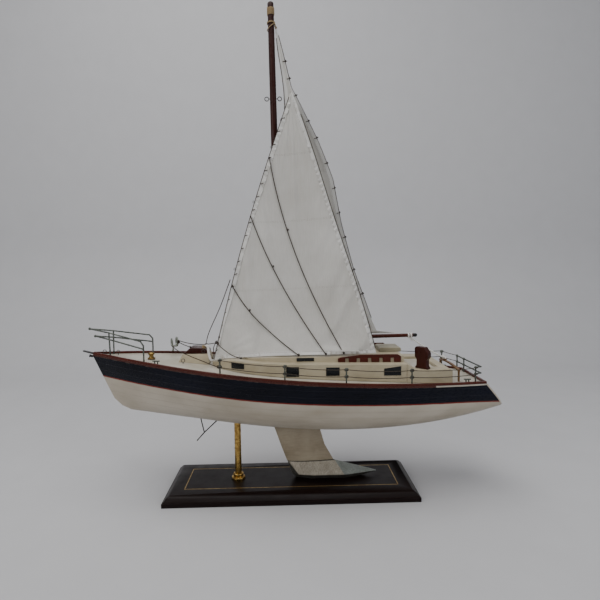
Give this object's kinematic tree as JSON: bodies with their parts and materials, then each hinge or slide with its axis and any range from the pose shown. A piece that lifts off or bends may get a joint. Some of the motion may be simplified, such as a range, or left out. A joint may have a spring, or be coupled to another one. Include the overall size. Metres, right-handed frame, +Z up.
{
  "type": "model sailing yacht",
  "caption": "Wooden display model of a cruising sailing yacht on a varnished stand, with a swinging boom and mainsail and a swinging headsail.",
  "frame": {"origin": "middle of the underside of the stand's base board", "axes": "+X towards the stern, +Y towards starboard, +Z up"},
  "size_m": [0.4693, 0.1352, 0.5371],
  "materials": {
    "varnished_dark": "gloss",
    "mahogany": "gloss",
    "inside_wood": "satin",
    "golden_wood": "satin",
    "hull_paint": "gloss",
    "white_paint": "satin",
    "cream_paint": "satin",
    "window_black": "gloss",
    "black_paint": "satin",
    "gold_line": "satin",
    "brass": "polished",
    "aged_metal": "satin",
    "steel": "satin",
    "shoe_metal": "satin",
    "sailcloth": "matte",
    "dark_thread": "matte",
    "pale_thread": "matte",
    "hemp_cord": "matte"
  },
  "bodies": {
    "hull": {"stand_base": "varnished_dark", "base_inlay": "gold_line", "stand_post": "brass", "post_flange": "brass", "base_screws": "steel", "hull_shell": "hull_paint", "transom": "white_paint", "keel_spine": "inside_wood", "bulkheads": "inside_wood", "post_block": "inside_wood", "deck_plate": "cream_paint", "toe_rail_port": "mahogany", "toe_rail_starboard": "mahogany", "stern_rail": "mahogany", "bow_plank": "black_paint", "stem_fitting": "black_paint", "keel_fin": "white_paint", "keel_shoe": "shoe_metal", "underhull_bracket": "steel", "pulpit": "aged_metal", "pushpit": "aged_metal", "stanchions": "aged_metal", "lifelines_port": "dark_thread", "lifelines_starboard": "dark_thread", "windlass": "brass", "ring_post": "aged_metal", "foredeck_eyes": "aged_metal", "mooring_cleats": "aged_metal", "hatch_coaming": "cream_paint", "hatch_lid": "mahogany", "hatch_ring": "aged_metal", "cabin_trunk": "cream_paint", "coachroof": "cream_paint", "side_windows": "window_black", "roof_windows": "window_black", "grab_rail_port": "mahogany", "grab_rail_starboard": "mahogany", "companion_hatch": "cream_paint", "cockpit_coaming": "cream_paint", "cockpit_sole": "cream_paint", "helm_pedestal": "mahogany", "traveller": "golden_wood", "mast_step": "mahogany", "mast": "mahogany", "mast_eyes": "aged_metal", "mast_whipping": "hemp_cord", "boom_collar": "mahogany", "foredeck_line": "dark_thread", "mainsheet": "pale_thread"},
    "boom": {"boom_jaw": "mahogany", "boom": "mahogany", "boom_cap": "black_paint", "boom_whippings": "pale_thread", "mainsail": "sailcloth", "leech_line": "dark_thread", "head_cords": "hemp_cord"},
    "headsail": {"headsail": "sailcloth", "luff_line": "dark_thread", "brail_lines": "dark_thread"}
  },
  "joints": [
    {"name": "boom_swing", "type": "hinge", "parent": "hull", "child": "boom", "pos_m": [-0.011, 0, 0.1573], "axis": [-0.0148, 0, 0.9999], "range_deg": [0, 55]},
    {"name": "headsail_swing", "type": "hinge", "parent": "hull", "child": "headsail", "pos_m": [-0.084, -0.014, 0.151], "axis": [0.2849, 0.0176, 0.9584], "range_deg": [-12, 0]}
  ]
}
